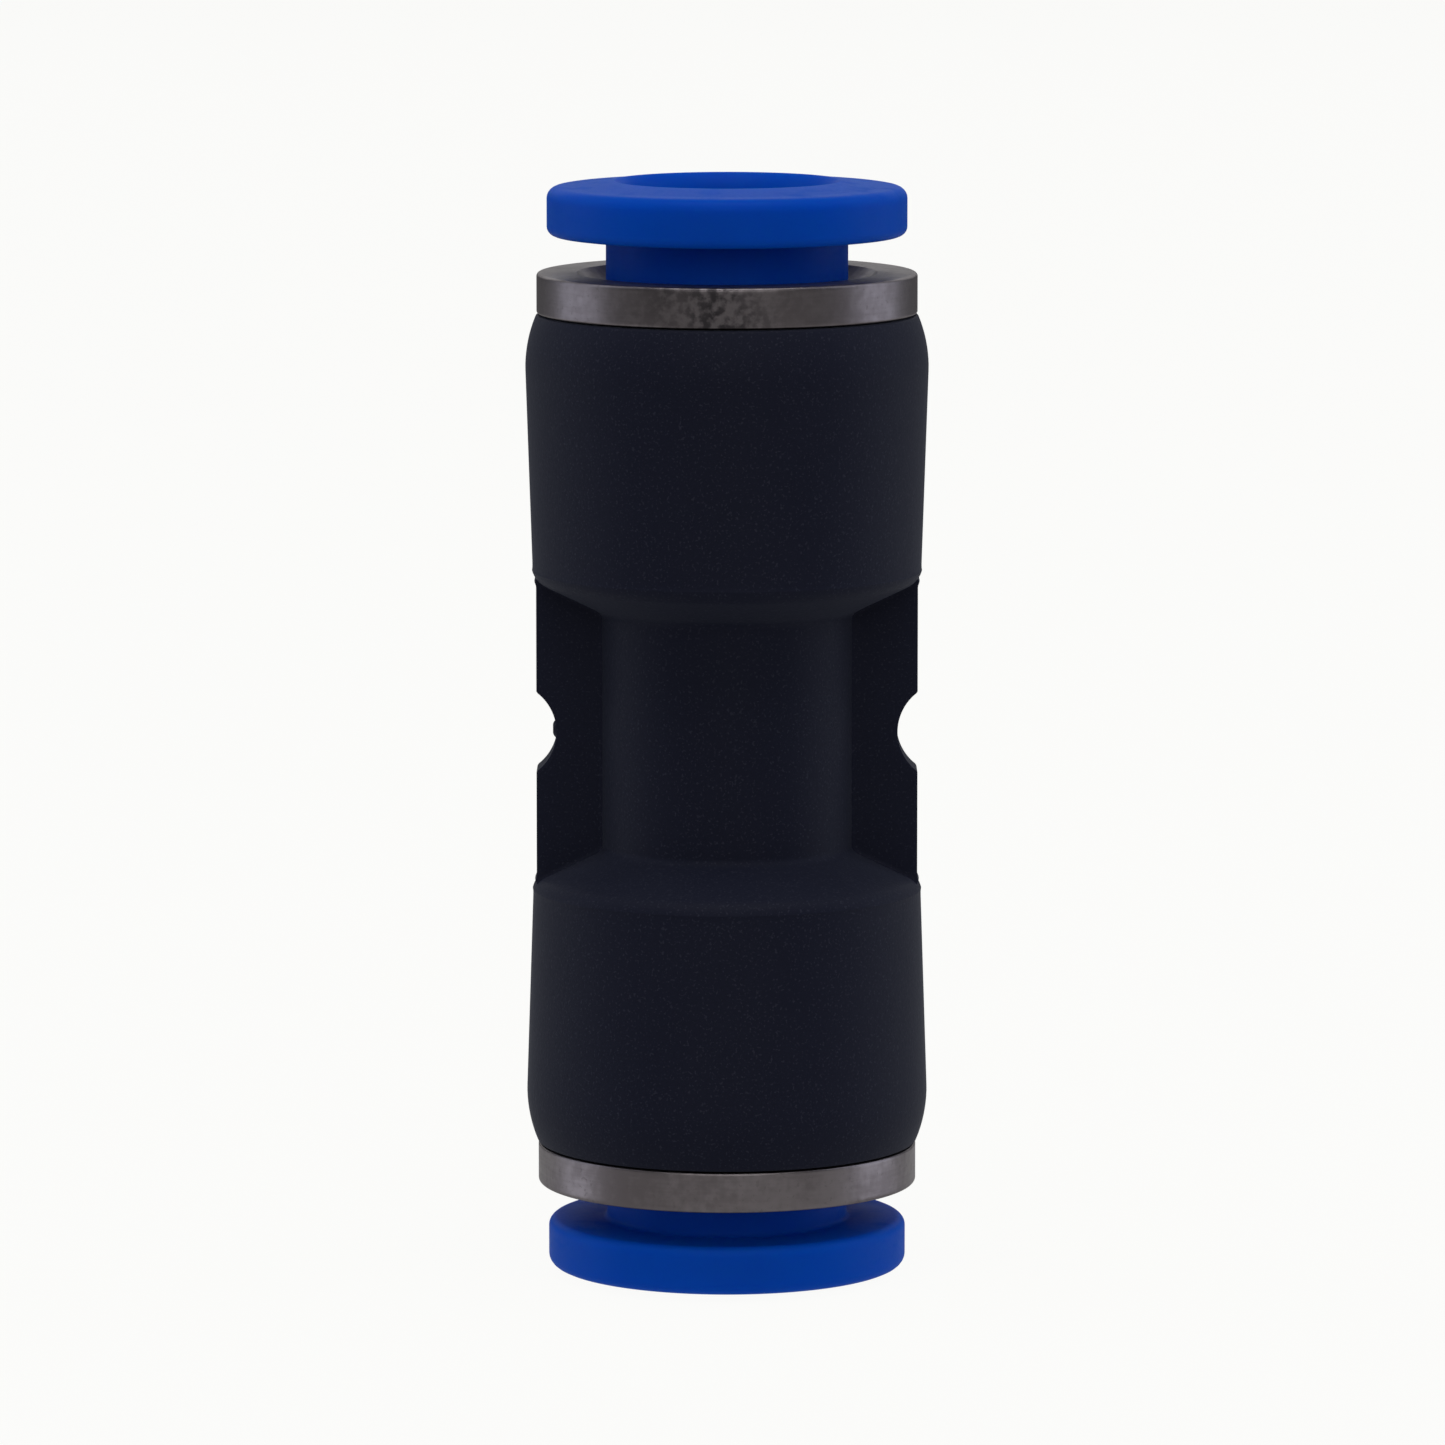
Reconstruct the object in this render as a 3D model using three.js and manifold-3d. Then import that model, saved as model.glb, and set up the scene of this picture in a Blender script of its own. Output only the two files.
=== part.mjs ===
// A straight push-fit coupling for 6 mm nylon or polyurethane air tube, in millimetres, +Z up.
//
// The origin is the centre of the moulded body, on the tube axis. Both ends are the same stack of
// pieces: a lip seal, a backing ring, a toothed grip ring, a plated guide ring pressed into the
// body's end, and a release sleeve that slides in the guide ring and is kept by its snap barb.
// Sizes build outwards: radii from the tube to the barrel, heights from the mid plane to the mouth.

import * as THREE from "three";
import { mergeVertices } from "three/addons/utils/BufferGeometryUtils.js";
import Module from "manifold-3d";

const wasm = await Module();
wasm.setup();

// ---------------------------------------------------------------------------------------------
// Clearances
const assemblyGap = 0.05; // between pieces that seat on each other
const tubeClearance = 0.05; // tube to its socket, on the radius
const sleeveClearance = 0.1; // tube to the release sleeve's bore, on the radius
const stemClearance = 0.1; // sleeve stem to the guide ring's throat, on the radius
const barbClearance = 0.15; // sleeve barb to the guide ring's chamber, on the radius
const backingClearance = 0.15; // tube to the backing ring, on the radius

// Radii, from the tube outwards
const tubeRadius = 3;
const passageRadius = 2;
const stemWall = 0.65;
const barbHeight = 0.4;
const guideWall = 0.65; // chamber to the skirt's root
const skirtBarb = 0.15; // how far the guide's retaining ridges stand off the skirt
const barrelWall = 1.1;
const coreWall = 0.93;
const socketRadius = tubeRadius + tubeClearance;
const sleeveBoreRadius = tubeRadius + sleeveClearance;
const stemRadius = sleeveBoreRadius + stemWall;
const barbRadius = stemRadius + barbHeight;
const throatRadius = stemRadius + stemClearance;
const chamberRadius = barbRadius + barbClearance;
const skirtRadius = chamberRadius + guideWall;
const counterboreRadius = skirtRadius + skirtBarb + assemblyGap;
const barrelRadius = counterboreRadius + barrelWall;
const coreRadius = socketRadius + coreWall;

// Heights, from the mid plane towards one mouth
const stopHeight = 1.3; // half the wall between the two tube stops
const socketLength = 4; // plain socket that steadies the tube's end
const sealLength = 2.7;
const spigotLength = 0.5; // the backing ring's spigot, which closes the seal's pocket
const backingThickness = 0.8;
const backingEdge = 0.15; // straight edge of the backing ring's bore, under its hollow cone
const gripThickness = 0.25;
const skirtLength = 3.25; // guide ring inside the body
const headLength = 1.25; // guide ring outside the body
const sleeveTravel = 1.1;
const flangeRim = 1.55; // thickness of the sleeve's flange at its rim
const crownRise = 0.15; // how far the flange's face rises from rim to mouth
const pocketFloor = stopHeight + socketLength;
const sealTop = pocketFloor + assemblyGap + sealLength;
const spigotFoot = sealTop + assemblyGap;
const ledge = spigotFoot + spigotLength - assemblyGap;
const backingTop = spigotFoot + spigotLength + backingThickness;
const gripFoot = backingTop + assemblyGap;
const gripTop = gripFoot + gripThickness;
const guideFoot = gripTop + assemblyGap;
const headFoot = guideFoot + skirtLength;
const bodyEnd = headFoot - assemblyGap;
const guideTop = headFoot + headLength;
const flangeFoot = guideTop + sleeveTravel + assemblyGap;
const flangeEdge = flangeFoot + flangeRim;
const mouth = flangeEdge + crownRise;

// Body mouldings
const endTaper = 0.34; // how much the barrel narrows to its end, on the radius
const endTaperLength = 1.65;
const neckDraft = 0.17; // how much the barrel narrows towards the waist, on the radius
const waistHeight = 3.72; // where each shoulder meets the core
const shoulderSlope = THREE.MathUtils.degToRad(26); // shoulder cone, from level
const shoulderFillet = 0.65; // rounding between the shoulder and the barrel's side
const webInset = 0.16; // the web's edge inside the barrel's neck
const webThickness = 1.7;
const notchRadius = 1.55; // fixing notch in each edge of the web
const notchOffset = 0.93; // notch centre outside the web's edge
const gateRadius = 0.28; // the moulding gate's stub, in one notch
const gateHeight = 0.12;
const neckRadius = barrelRadius - neckDraft;
const neckCorner = waistHeight + (neckRadius - coreRadius) * Math.tan(shoulderSlope);
const webHalfWidth = neckRadius - webInset;

// Guide ring
const headInset = 0.35; // head inside the barrel's largest radius
const headChamfer = 0.12;
const countersinkDepth = 0.8;
const lipLength = 1.05; // the throat's straight length
const bellDepth = 0.5; // bevel inside the skirt's foot
const bellFlare = 0.25;
const ridgeLength = 0.55;
const ridgeSpacing = 0.85;
const ridgeCount = 3;
const headRadius = barrelRadius - headInset;
const lipFoot = guideTop - countersinkDepth - lipLength;

// Release sleeve
const flangeOverhang = 1.83; // flange rim outside the stem
const flangeFillet = 0.28; // flange's edge towards the body
const crownFillet = 0.5; // flange's edge towards the mouth
const mouthChamfer = 0.4;
const mouthFlat = 1.3; // flat land round the mouth
const barbLength = 0.85;
const noseClearance = 0.2; // sleeve's nose above the grip ring's rim
const noseWall = 0.35;
const slotWidth = 0.9;
const slotCount = 4;
const slotRise = 0.5; // slots run this far past the barb
const flangeRadius = stemRadius + flangeOverhang;
const noseFoot = gripTop + noseClearance;
const barbTop = lipFoot - assemblyGap;

// Grip ring
const toothBite = 0.1; // tooth tips inside the tube, on the radius
const toothCount = 12;
const toothDrop = 0.62; // fall of a tooth for each millimetre inwards
const toothGap = 0.5;
const tipRadius = tubeRadius - toothBite;
const gripRimRadius = chamberRadius;
const toothFall = (gripRimRadius - tipRadius) * toothDrop;

// Lip seal
const lipSqueeze = 0.08; // lip inside the tube, on the radius
const lipThickness = 0.42;
const lipDepth = 1.7;
const heelGap = 0.2; // seal heel to the tube, on the radius
const pocketWall = 0.6; // pocket edge inside the counterbore
const lipRadius = tubeRadius - lipSqueeze;
const pocketRadius = counterboreRadius - pocketWall;
const sealRadius = pocketRadius - assemblyGap;

// Faceting
const roundSegments = 40;
const holeSegments = 32;
const filletSegments = 3;
const taperSegments = 5;
const cutMargin = 1; // how far a cutter runs past what it cuts

// ---------------------------------------------------------------------------------------------
// Shared shapes

/** A closed mesh geometry as a solid that can be cut and joined. */
function solidFrom(geometry) {
  const bare = geometry.index ? geometry.toNonIndexed() : geometry.clone();
  bare.deleteAttribute("normal");
  bare.deleteAttribute("uv");
  const merged = mergeVertices(bare, 1e-4);
  return new wasm.Manifold(
    new wasm.Mesh({
      numProp: 3,
      vertProperties: merged.attributes.position.array,
      triVerts: new Uint32Array(merged.index.array),
    }),
  );
}

/** A solid as a flat-shaded geometry. */
function geometryFrom(solid) {
  const mesh = solid.getMesh();
  const geometry = new THREE.BufferGeometry();
  geometry.setAttribute("position", new THREE.BufferAttribute(mesh.vertProperties, 3));
  geometry.setIndex(new THREE.BufferAttribute(mesh.triVerts, 1));
  const flat = geometry.toNonIndexed();
  flat.computeVertexNormals();
  return flat;
}

/** Points of a circular arc from angle a0 to a1, in radians, about (r, z). */
function arc(r, z, radius, a0, a1, steps = filletSegments) {
  return Array.from({ length: steps + 1 }, (_, i) => {
    const a = a0 + ((a1 - a0) * i) / steps;
    return [r + radius * Math.cos(a), z + radius * Math.sin(a)];
  });
}

/** A profile of [radius, height] points turned about Z: up the outside, then down the inside. */
function revolve(profile) {
  const closed = profile[0][0] === 0 ? profile : [...profile, profile[0]];
  const points = closed.map(([r, z]) => new THREE.Vector2(r, z));
  return new THREE.LatheGeometry(points, roundSegments).rotateX(Math.PI / 2);
}

/** A profile given for z above 0, followed by its mirror image below: bottom to top. */
function mirrored(upper) {
  return [...upper.map(([r, z]) => [r, -z]).reverse(), ...upper];
}

// ---------------------------------------------------------------------------------------------
// Moulded body

/** Outside of one barrel, from the waist to the end: shoulder cone, drafted side, rounded end. */
function barrelOutline() {
  const start = bodyEnd - endTaperLength;
  const bend = (endTaperLength ** 2 + endTaper ** 2) / (2 * endTaper);
  const sweep = Math.asin(endTaperLength / bend);
  const turn = Math.PI / 2 - shoulderSlope;
  const filletCentre = neckCorner + shoulderFillet * Math.tan(turn / 2);
  return [
    [coreRadius, waistHeight],
    ...arc(neckRadius - shoulderFillet, filletCentre, shoulderFillet, -turn, 0),
    ...arc(barrelRadius - bend, start, bend, 0, sweep, taperSegments),
    [0, bodyEnd],
  ];
}

/** The stepped bore from mouth to mouth: passage, tube sockets, seal pockets, counterbores. */
function boreOutline() {
  return [
    [passageRadius, 0],
    [passageRadius, stopHeight],
    [socketRadius, stopHeight],
    [socketRadius, pocketFloor],
    [pocketRadius, pocketFloor],
    [pocketRadius, ledge],
    [counterboreRadius, ledge],
    [counterboreRadius, bodyEnd + cutMargin],
    [0, bodyEnd + cutMargin],
  ];
}

/** The flat web that carries the fixing notches, with the gate's stub in one of them. */
function webSolid() {
  const height = 2 * (neckCorner + shoulderFillet / 2);
  const depth = webThickness + 2 * cutMargin;
  let web = solidFrom(new THREE.BoxGeometry(2 * webHalfWidth, webThickness, height));
  for (const side of [-1, 1]) {
    const cutter = new THREE.CylinderGeometry(notchRadius, notchRadius, depth, holeSegments);
    cutter.translate(side * (webHalfWidth + notchOffset), 0, 0);
    web = web.subtract(solidFrom(cutter));
  }
  const notchFloor = webHalfWidth + notchOffset - notchRadius;
  const stub = new THREE.CylinderGeometry(gateRadius, gateRadius, 2 * gateHeight, holeSegments);
  stub.rotateZ(Math.PI / 2).translate(-notchFloor, 0, 0);
  return web.add(solidFrom(stub));
}

function bodyGeometry() {
  const outside = solidFrom(revolve(mirrored(barrelOutline())));
  const bore = solidFrom(revolve(mirrored(boreOutline())));
  return geometryFrom(outside.add(webSolid()).subtract(bore));
}

// ---------------------------------------------------------------------------------------------
// Pieces of one end, drawn for the upper end

/** Lip seal: a heel under the backing ring and two lips that open towards the pressure. */
function sealGeometry() {
  const foot = pocketFloor + assemblyGap;
  const crotch = foot + lipDepth;
  const heelRadius = tubeRadius + heelGap;
  return revolve([
    [sealRadius - lipThickness, foot + lipThickness / 2],
    [sealRadius - lipThickness / 2, foot],
    [sealRadius, foot + lipThickness / 2],
    [sealRadius, sealTop],
    [heelRadius, sealTop],
    [heelRadius, crotch],
    [lipRadius, foot + lipThickness],
    [lipRadius, foot + lipThickness / 2],
    [lipRadius + lipThickness / 2, foot],
    [lipRadius + lipThickness, foot + lipThickness / 2],
    [heelRadius + lipThickness, crotch - lipThickness / 2],
    [(heelRadius + sealRadius) / 2, crotch],
    [sealRadius - lipThickness, crotch - lipThickness / 2],
  ]);
}

/** Backing ring: spigot on the seal, flange on the ledge, and a hollow cone for the teeth. */
function backingGeometry() {
  const bore = tubeRadius + backingClearance;
  const flangeFootHeight = ledge + assemblyGap;
  return revolve([
    [sealRadius, spigotFoot],
    [sealRadius, flangeFootHeight],
    [counterboreRadius - assemblyGap, flangeFootHeight],
    [counterboreRadius - assemblyGap, backingTop],
    [gripRimRadius, backingTop],
    [bore, spigotFoot + backingEdge],
    [bore, spigotFoot],
  ]);
}

/** The gap between two teeth: a straight slot with a round root, cut right through. */
function toothGapCutter() {
  const half = toothGap / 2;
  const root = gripRimRadius - half;
  const outline = new THREE.Shape();
  outline.moveTo(0, -half);
  outline.lineTo(root, -half);
  outline.absarc(root, 0, half, -Math.PI / 2, Math.PI / 2, false);
  outline.lineTo(0, half);
  const depth = gripThickness + toothFall + 2 * cutMargin;
  const cutter = new THREE.ExtrudeGeometry(outline, {
    depth,
    bevelEnabled: false,
    curveSegments: filletSegments,
  });
  return cutter.translate(0, 0, gripTop + cutMargin - depth);
}

/** Grip ring: a flat rim with spring teeth that lean inwards and away from the mouth. */
function gripGeometry() {
  const rim = counterboreRadius - assemblyGap;
  let ring = solidFrom(
    revolve([
      [rim, gripFoot],
      [rim, gripTop],
      [gripRimRadius, gripTop],
      [tipRadius + gripThickness / 2, gripTop - toothFall],
      [tipRadius, gripTop - toothFall - gripThickness / 4],
      [tipRadius, gripFoot - toothFall],
      [gripRimRadius, gripFoot],
    ]),
  );
  for (let i = 0; i < toothCount; i++) {
    const turn = (2 * Math.PI * i) / toothCount;
    ring = ring.subtract(solidFrom(toothGapCutter().rotateZ(turn)));
  }
  return geometryFrom(ring);
}

/** Guide ring: a plated head outside the body, a ridged skirt in it, and a throat for the stem. */
function guideGeometry() {
  const ridges = Array.from({ length: ridgeCount }, (_, i) => {
    const foot = guideFoot + ridgeSpacing / 2 + i * ridgeSpacing;
    return [
      [skirtRadius, foot],
      [skirtRadius + skirtBarb, foot + ridgeLength],
      [skirtRadius, foot + ridgeLength],
    ];
  }).flat();
  return revolve([
    [skirtRadius, guideFoot],
    ...ridges,
    [skirtRadius, headFoot],
    [headRadius, headFoot],
    [headRadius, guideTop - headChamfer],
    [headRadius - headChamfer, guideTop],
    [throatRadius + countersinkDepth, guideTop],
    [throatRadius, guideTop - countersinkDepth],
    [throatRadius, lipFoot],
    [chamberRadius, lipFoot],
    [chamberRadius, guideFoot + bellDepth],
    [chamberRadius + bellFlare, guideFoot],
  ]);
}

/** Release sleeve: crowned flange, stem, and a slotted nose whose barb snaps under the throat. */
function sleeveGeometry() {
  const landEdge = sleeveBoreRadius + mouthChamfer + mouthFlat;
  const quarter = Math.PI / 2;
  const turned = solidFrom(
    revolve([
      [sleeveBoreRadius + noseWall, noseFoot],
      [barbRadius, barbTop - barbLength],
      [barbRadius, barbTop],
      [stemRadius, barbTop],
      [stemRadius, flangeFoot],
      ...arc(flangeRadius - flangeFillet, flangeFoot + flangeFillet, flangeFillet, -quarter, 0),
      ...arc(flangeRadius - crownFillet, flangeEdge - crownFillet, crownFillet, 0, quarter),
      [landEdge, mouth],
      [sleeveBoreRadius + mouthChamfer, mouth],
      [sleeveBoreRadius, mouth - mouthChamfer],
      [sleeveBoreRadius, noseFoot],
    ]),
  );
  const slotTop = barbTop + slotRise;
  const slotFoot = noseFoot - cutMargin;
  let sleeve = turned;
  for (let i = 0; i < slotCount; i++) {
    const slot = new THREE.BoxGeometry(2 * barbRadius, slotWidth, slotTop - slotFoot);
    slot.translate(barbRadius, 0, (slotTop + slotFoot) / 2);
    slot.rotateZ((2 * Math.PI * (i + 0.5)) / slotCount);
    sleeve = sleeve.subtract(solidFrom(slot));
  }
  return geometryFrom(sleeve);
}

// ---------------------------------------------------------------------------------------------
// Materials

const finishes = {
  bodyPlastic: { color: 0x14161d, roughness: 0.6, metalness: 0 },
  sleevePlastic: { color: 0x0a44b4, roughness: 0.35, metalness: 0 },
  platedBrass: { color: 0x9a948f, roughness: 0.35, metalness: 1 },
  springSteel: { color: 0xc4c6c8, roughness: 0.3, metalness: 1 },
  backingPlastic: { color: 0xd9d4c4, roughness: 0.5, metalness: 0 },
  sealRubber: { color: 0x17171a, roughness: 0.75, metalness: 0 },
};

/** A named mesh with one of the finishes. */
function piece(name, geometry, finish) {
  const mesh = new THREE.Mesh(geometry, new THREE.MeshStandardMaterial(finishes[finish]));
  mesh.name = name;
  return mesh;
}

// ---------------------------------------------------------------------------------------------
// Assembly

/** All the pieces of one end, as drawn, in a group that the lower end turns over. */
function endAssembly(side) {
  const end = new THREE.Group();
  end.add(piece(`${side}_lip_seal`, sealGeometry(), "sealRubber"));
  end.add(piece(`${side}_backing_ring`, backingGeometry(), "backingPlastic"));
  end.add(piece(`${side}_grip_ring`, gripGeometry(), "springSteel"));
  end.add(piece(`${side}_guide_ring`, guideGeometry(), "platedBrass"));
  end.add(piece(`${side}_release_sleeve`, sleeveGeometry(), "sleevePlastic"));
  return end;
}

const coupling = new THREE.Group();
coupling.add(piece("coupling_body", bodyGeometry(), "bodyPlastic"));
coupling.add(endAssembly("upper"));
const lowerEnd = endAssembly("lower");
lowerEnd.rotation.x = Math.PI;
coupling.add(lowerEnd);

export default coupling;
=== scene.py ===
"""A straight push-fit coupling for 6 mm air tube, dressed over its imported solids.

Sizes inside the classes are millimetres, as on the maker's drawing, and become metres when a
surface is laid into its mesh. Each end is the same stack of pieces, drawn for the upper mouth; the
lower end is that stack given half a turn about X. Where a piece starts and ends comes from its
solid's box.
"""

from __future__ import annotations

import logging
import math
from dataclasses import dataclass
from enum import Enum

import bpy
import numpy as np
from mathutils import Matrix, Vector

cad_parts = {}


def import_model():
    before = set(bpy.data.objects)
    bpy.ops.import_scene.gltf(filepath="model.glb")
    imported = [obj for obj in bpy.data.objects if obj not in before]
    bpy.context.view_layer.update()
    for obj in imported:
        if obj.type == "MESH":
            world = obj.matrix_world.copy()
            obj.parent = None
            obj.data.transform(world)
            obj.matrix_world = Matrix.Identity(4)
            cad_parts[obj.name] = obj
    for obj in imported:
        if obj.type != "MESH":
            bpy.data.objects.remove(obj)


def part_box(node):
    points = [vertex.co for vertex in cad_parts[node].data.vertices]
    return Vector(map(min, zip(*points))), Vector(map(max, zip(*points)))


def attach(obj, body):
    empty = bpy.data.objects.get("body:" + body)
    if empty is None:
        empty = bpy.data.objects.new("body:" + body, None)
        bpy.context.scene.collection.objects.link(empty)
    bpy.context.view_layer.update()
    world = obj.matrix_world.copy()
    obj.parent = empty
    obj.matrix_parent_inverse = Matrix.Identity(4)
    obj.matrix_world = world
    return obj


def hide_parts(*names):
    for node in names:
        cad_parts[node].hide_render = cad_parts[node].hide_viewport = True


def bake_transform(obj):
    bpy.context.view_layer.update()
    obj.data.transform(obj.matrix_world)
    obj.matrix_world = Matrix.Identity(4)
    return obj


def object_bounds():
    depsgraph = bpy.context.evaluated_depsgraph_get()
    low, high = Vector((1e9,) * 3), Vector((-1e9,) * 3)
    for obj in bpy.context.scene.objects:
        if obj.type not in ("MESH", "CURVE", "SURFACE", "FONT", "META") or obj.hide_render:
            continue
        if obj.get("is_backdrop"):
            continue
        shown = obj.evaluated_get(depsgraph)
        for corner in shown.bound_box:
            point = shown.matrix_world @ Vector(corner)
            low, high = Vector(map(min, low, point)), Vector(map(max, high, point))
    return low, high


LOG = logging.getLogger("coupling")
MM = 0.001
Triple = tuple[float, float, float]
Colour = Triple

# Rounding: the largest share of a side that an arc takes, and the share, up to a tangent of the
# full size in millimetres, that the point outside the arc keeps away from it.
ARC_SHARE = 0.44
SPARE_SHARE = 0.05
SPARE_FULL = 0.05


class End(Enum):
    """The two mouths of the coupling."""

    UPPER = "upper"
    LOWER = "lower"

    @property
    def turn(self) -> np.ndarray:
        """What each axis is multiplied by to bring the upper stack to this end."""
        return np.array([1.0, 1.0, 1.0] if self is End.UPPER else [1.0, -1.0, -1.0])

    @property
    def sleeve_body(self) -> str:
        """Name of the moving body at this end."""
        return f"{self.value}_sleeve"

    def node(self, piece: str) -> str:
        """Name of this end's solid of a piece."""
        return f"{self.value}_{piece}"


@dataclass(frozen=True)
class Reach:
    """Where a solid starts and ends along the axis, and its radius, drawn for the upper end."""

    foot: float
    top: float
    radius: float

    @classmethod
    def of(cls, node: str) -> Reach:
        """Measures a solid's box.

        Args:
            node: name of the CAD solid.

        Returns:
            Its reach in millimetres, turned to the upper end.
        """
        low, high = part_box(node)
        heights = sorted((abs(low.z) / MM, abs(high.z) / MM))
        return cls(heights[0], heights[1], high.x / MM)


# ------------------------------------------------------------------------------------------------
# Surfaces


@dataclass(frozen=True)
class Surface:
    """Points in millimetres and the four-sided faces between them, which point outwards."""

    points: np.ndarray
    faces: np.ndarray

    def turned(self, end: End) -> Surface:
        """The same surface at one end of the coupling."""
        return Surface(self.points * end.turn, self.faces)

    def lay(self, name: str, crease: float = 38.0) -> bpy.types.Object:
        """Puts the surface into a new object at the origin.

        Args:
            name: the object's name.
            crease: edges sharper than this many degrees stay sharp.

        Returns:
            The new object, with its points in metres.
        """
        used, faces = np.unique(self.faces, return_inverse=True)
        faces = faces.reshape(self.faces.shape).astype(np.int32)
        points = (self.points[used] * MM).astype(np.float32)
        mesh = bpy.data.meshes.new(name)
        mesh.vertices.add(len(points))
        mesh.vertices.foreach_set("co", points.ravel())
        mesh.loops.add(faces.size)
        mesh.loops.foreach_set("vertex_index", faces.ravel())
        mesh.polygons.add(len(faces))
        mesh.polygons.foreach_set("loop_start", np.arange(0, faces.size, 4, dtype=np.int32))
        mesh.update(calc_edges=True)
        mesh.validate()
        mesh.shade_smooth()
        mesh.set_sharp_from_angle(angle=math.radians(crease))
        piece = bpy.data.objects.new(name, mesh)
        bpy.context.scene.collection.objects.link(piece)
        return piece


def soften(corners: np.ndarray, radii: np.ndarray, steps: int = 6) -> np.ndarray:
    """Rounds the corners of a closed outline.

    At a corner P with unit directions a and b to its neighbours and half angle h between them, the
    arc of radius q starts at P + a t and ends at P + b t, where t = q / tan h. Its centre is
    P + (a + b) / |a + b| * q / sin h. A point just outside each end of the arc keeps flats flat.

    Args:
        corners: the outline's corners, one radius and height a row.
        radii: rounding of each corner; it is cut down where a side is too short for it.
        steps: parts that each arc is divided into.

    Returns:
        The rounded outline's points, in the same direction as the corners.
    """
    back, ahead = np.roll(corners, 1, 0) - corners, np.roll(corners, -1, 0) - corners
    sides = np.stack([np.linalg.norm(back, axis=1), np.linalg.norm(ahead, axis=1)])
    a, b = back / sides[0][:, None], ahead / sides[1][:, None]
    half = np.arccos(np.clip((a * b).sum(1), -1, 1)) / 2
    half = np.clip(half, 1e-3, math.pi / 2 - 1e-4)
    tangent = np.minimum(radii / np.tan(half), ARC_SHARE * sides.min(0))
    radius = tangent * np.tan(half)
    middle = (a + b) / np.maximum(np.linalg.norm(a + b, axis=1), 1e-9)[:, None]
    centre = corners + middle * (radius / np.sin(half))[:, None]
    first = (corners + a * tangent[:, None] - centre) / radius[:, None]
    last = (corners + b * tangent[:, None] - centre) / radius[:, None]
    sweep = (math.pi - 2 * half)[:, None, None]
    s = np.linspace(0, 1, steps + 1)[None, :, None]
    swing = np.sin((1 - s) * sweep) * first[:, None] + np.sin(s * sweep) * last[:, None]
    arcs = centre[:, None] + radius[:, None, None] * swing / np.sin(sweep)
    spare = (SPARE_SHARE * sides.min(0) * np.minimum(1, tangent / SPARE_FULL))[:, None] + 1e-3
    before = corners + a * (tangent[:, None] + spare)
    after = corners + b * (tangent[:, None] + spare)
    return np.concatenate([before[:, None], arcs, after[:, None]], 1).reshape(-1, 2)


def ring_faces(rows: int, columns: int) -> np.ndarray:
    """Faces of a grid that closes on itself both ways.

    Args:
        rows: rows of points.
        columns: points in a row.

    Returns:
        The places of each face's corners, going from a column to the next and up a row.
    """
    i, j = np.meshgrid(np.arange(rows), np.arange(columns), indexing="ij")
    up, on = (i + 1) % rows, (j + 1) % columns
    corners = (i * columns + j, i * columns + on, up * columns + on, up * columns + j)
    return np.stack(corners, -1).reshape(-1, 4)


def turned_on_axis(radius: np.ndarray, height: np.ndarray, angle: np.ndarray) -> np.ndarray:
    """Points at (radius cos angle, radius sin angle, height), the three broadcast together."""
    radius, height, angle = np.broadcast_arrays(radius, height, angle)
    return np.stack([radius * np.cos(angle), radius * np.sin(angle), height], -1)


def revolve(outline: np.ndarray, columns: int = 144) -> Surface:
    """Turns a closed outline about the axis.

    Args:
        outline: radius and height of each point, up the outside and down the inside.
        columns: parts of a full turn.

    Returns:
        The closed surface P(s, a) = (r(s) cos a, r(s) sin a, z(s)).
    """
    angle = np.linspace(0, 2 * math.pi, columns, endpoint=False)[None]
    points = turned_on_axis(outline[:, :1], outline[:, 1:], angle)
    return Surface(points.reshape(-1, 3), ring_faces(len(outline), columns))


def pierced_shell(outer: np.ndarray, inner: np.ndarray, present: np.ndarray) -> Surface:
    """Closes a wall between two grids, with openings where cells are missing.

    A cell that is present has a face on each grid. Wherever it borders a missing cell, or the first
    or last row, a face joins the two grids across the wall's thickness.

    Args:
        outer: the outside's points, rows by columns by 3, closed along its columns.
        inner: the inside's points, in pairs with the outside's.
        present: whether each cell between two rows and two columns is there.

    Returns:
        The closed wall.
    """
    rows, columns = outer.shape[:2]
    out = np.arange(rows * columns).reshape(rows, columns)
    inn = out + rows * columns
    i, j = np.nonzero(present)
    on = (j + 1) % columns
    skins = [
        np.stack([out[i, j], out[i, on], out[i + 1, on], out[i + 1, j]], 1),
        np.stack([inn[i + 1, j], inn[i + 1, on], inn[i, on], inn[i, j]], 1),
    ]
    padded = np.pad(present, ((1, 1), (0, 0)))
    for starts, flip in ((padded[1:] & ~padded[:-1], False), (padded[:-1] & ~padded[1:], True)):
        i, j = np.nonzero(starts)
        on = (j + 1) % columns
        wall = np.stack([out[i, j], inn[i, j], inn[i, on], out[i, on]], 1)
        skins.append(wall[:, ::-1] if flip else wall)
    behind = np.roll(present, 1, 1)
    for starts, flip in ((present & ~behind, False), (behind & ~present, True)):
        i, j = np.nonzero(starts)
        wall = np.stack([out[i, j], out[i + 1, j], inn[i + 1, j], inn[i, j]], 1)
        skins.append(wall[:, ::-1] if flip else wall)
    points = np.concatenate([outer.reshape(-1, 3), inner.reshape(-1, 3)])
    return Surface(points, np.concatenate(skins))


def joined(a: np.ndarray, b: np.ndarray, width: np.ndarray | float) -> np.ndarray:
    """The larger of two values, with the step between them rounded.

    With h = 1/2 + (a - b) / (2 width) held between 0 and 1, it is b + h (a - b) + width h (1 - h).

    Args:
        a: first value.
        b: second value.
        width: difference under which the two are mixed.

    Returns:
        The rounded maximum.
    """
    h = np.clip(0.5 + (a - b) / (2 * width), 0, 1)
    return b + h * (a - b) + width * h * (1 - h)


# ------------------------------------------------------------------------------------------------
# Shader nodes


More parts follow.
